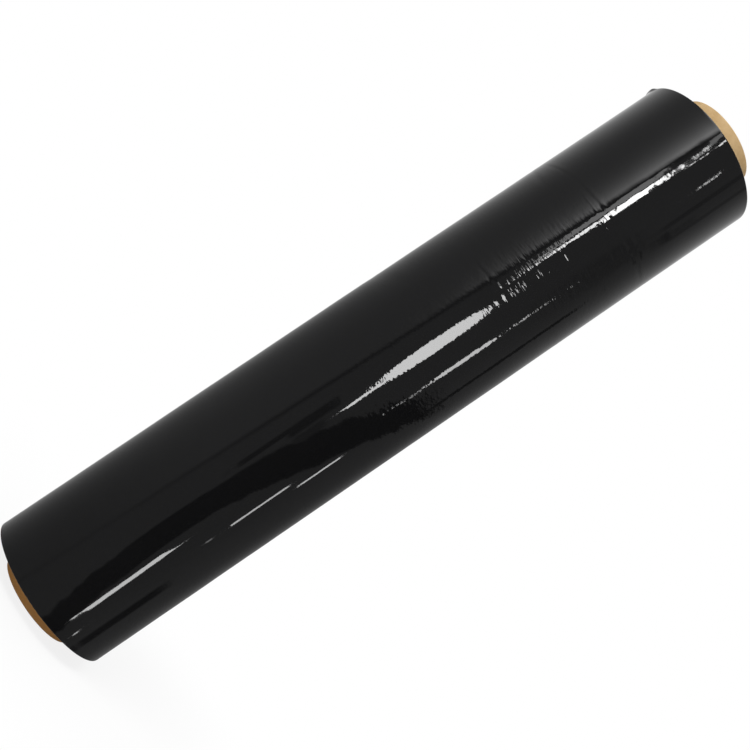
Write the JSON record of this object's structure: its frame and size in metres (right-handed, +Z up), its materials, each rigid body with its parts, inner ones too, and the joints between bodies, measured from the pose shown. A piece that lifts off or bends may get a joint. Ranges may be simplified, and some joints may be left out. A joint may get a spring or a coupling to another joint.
{
  "type": "stretch wrap roll",
  "caption": "Roll of glossy black stretch film wound on a paperboard core that stands out of both ends, with a through bore for a dispenser's mandrel.",
  "frame": {"origin": "centre of the core's lower rim, the ring that the roll stands on", "axes": "+Z up along the roll's axis, from the end with the shorter bare core to the end with the longer one; +X and +Y are any two square directions across the roll"},
  "size_m": [0.102, 0.1018, 0.527],
  "materials": {
    "core_board": "matt kraft paper, slightly darker on the cut ends",
    "black_film": "high gloss black film, finely ribbed around the upper part of the roll"
  },
  "bodies": {
    "root": {"core_tube": "core_board", "wound_film": "black_film"}
  },
  "joints": []
}
